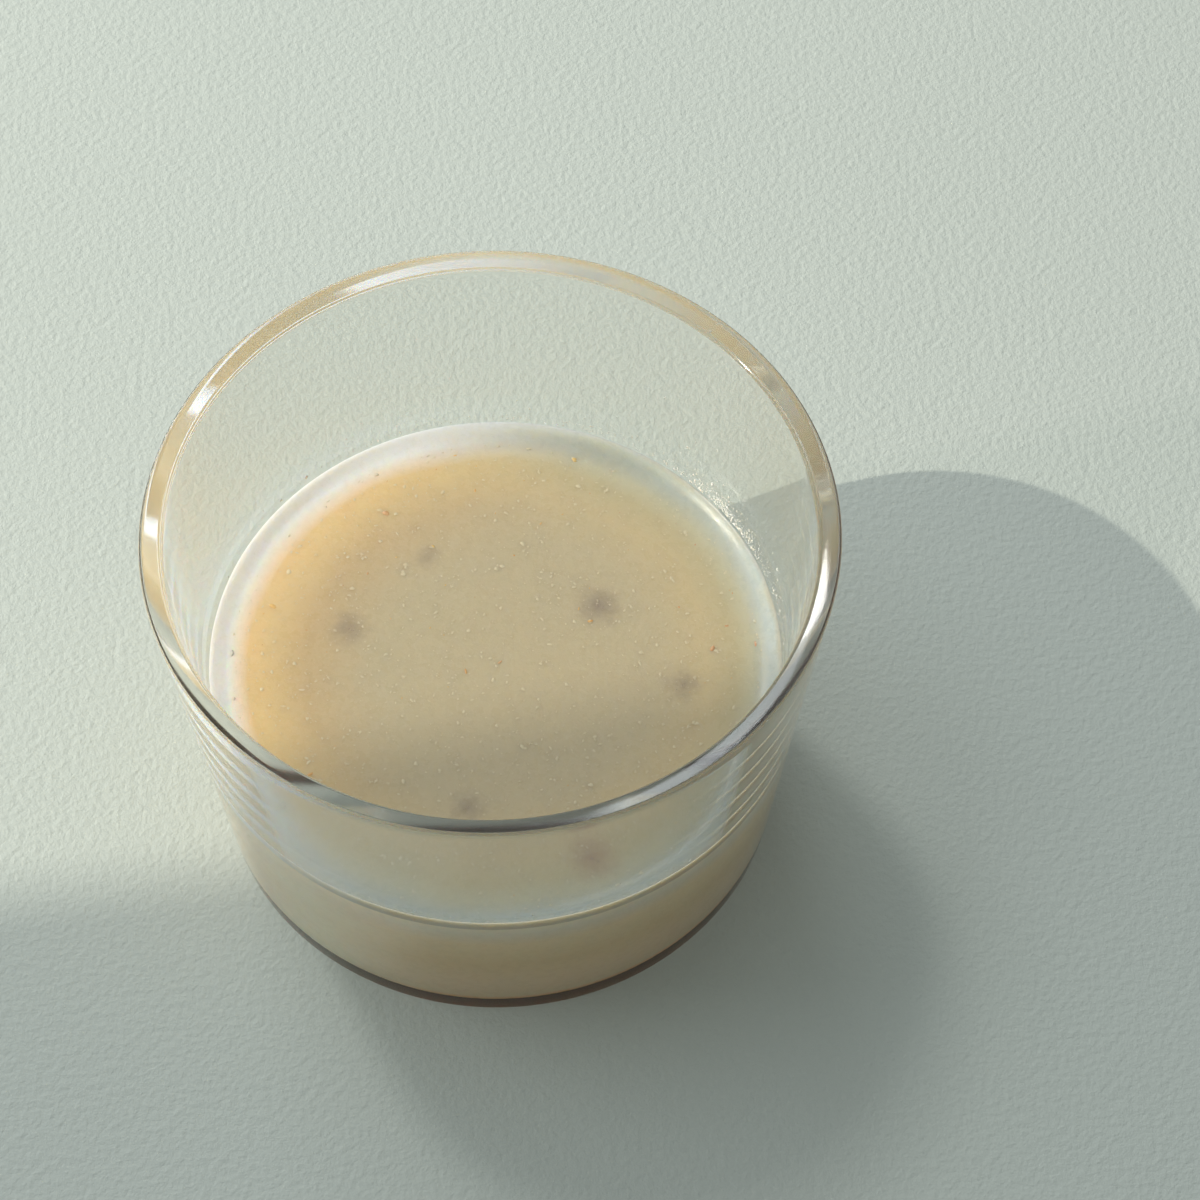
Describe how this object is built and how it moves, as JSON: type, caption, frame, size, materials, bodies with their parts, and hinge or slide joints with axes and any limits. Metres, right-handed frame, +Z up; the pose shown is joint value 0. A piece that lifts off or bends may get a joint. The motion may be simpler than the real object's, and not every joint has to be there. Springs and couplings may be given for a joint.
{
  "type": "glass of amazake",
  "caption": "Low, wide, straight-sided clear drinking glass with a rounded rim, part filled with creamy beige amazake rice drink that curves up to the wall.",
  "frame": {"origin": "centre of the foot, on the surface the glass stands on", "axes": "+Z up along the glass's axis; the glass and drink are round, so X and Y are free"},
  "size_m": [0.0842, 0.0842, 0.0565],
  "materials": {
    "clear_glass": "clear, smooth, fire-polished rim",
    "rice_drink": "wet, milky, faintly grainy"
  },
  "bodies": {
    "root": {"glass_tumbler": "clear_glass", "amazake": "rice_drink"}
  },
  "joints": []
}
